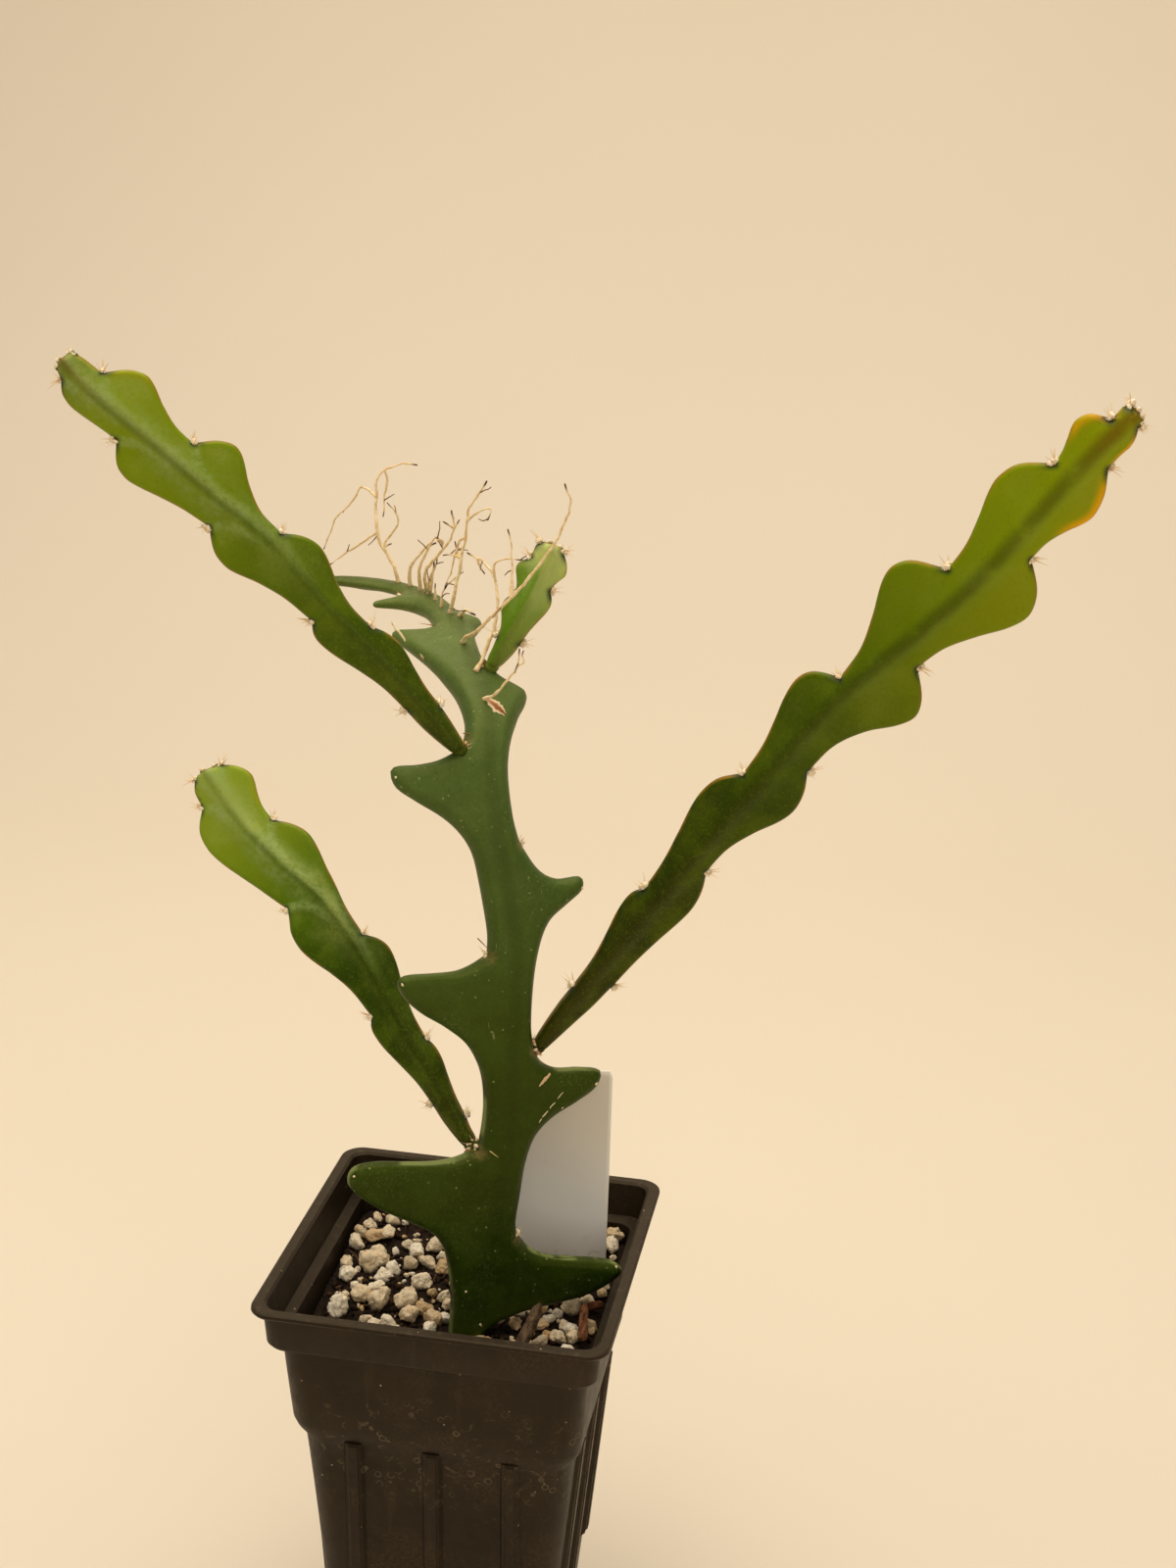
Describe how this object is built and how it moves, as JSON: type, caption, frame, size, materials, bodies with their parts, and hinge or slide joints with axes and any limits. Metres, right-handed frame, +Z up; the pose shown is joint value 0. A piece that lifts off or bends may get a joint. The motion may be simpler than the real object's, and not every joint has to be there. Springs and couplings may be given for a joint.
{
  "type": "potted ric rac cactus",
  "caption": "Square black nursery pot of dark mix and pale pumice with a zigzag-lobed cactus stem, long young stems, aerial roots and a bare label.",
  "frame": {"origin": "centre of the pot's underside", "axes": "+Z up; the pot's faces look along X and Y, and -Y is the front, from which the main stem shows its face"},
  "size_m": [0.2452, 0.1432, 0.3578],
  "materials": {
    "black_plastic": "matte, dusty, with water spots",
    "potting_mix": "rough and crumbly",
    "pumice": "rough and porous, with ochre stains",
    "bark": "rough",
    "label_plastic": "satin",
    "old_stem": "waxy satin with pale corky marks",
    "young_stem": "waxy satin, a little translucent",
    "aerial_root": "dry and matte"
  },
  "bodies": {
    "root": {"pot": "black_plastic", "potting_mix": "potting_mix", "pumice": "pumice", "bark_stick": "bark", "bark_chip_upright": "bark", "bark_chip_flat": "bark", "plant_label": "label_plastic", "main_stem": "old_stem", "upper_left_stem": "young_stem", "right_stem": "young_stem", "lower_left_stem": "young_stem", "top_stem": "young_stem", "aerial_root_far": "aerial_root", "aerial_root_hook": "aerial_root", "aerial_root_bent": "aerial_root", "aerial_root_pale": "aerial_root", "aerial_root_straight": "aerial_root", "aerial_root_forked": "aerial_root", "aerial_root_arched": "aerial_root", "aerial_root_long": "aerial_root", "aerial_root_low": "aerial_root", "aerial_root_back": "aerial_root"}
  },
  "joints": []
}
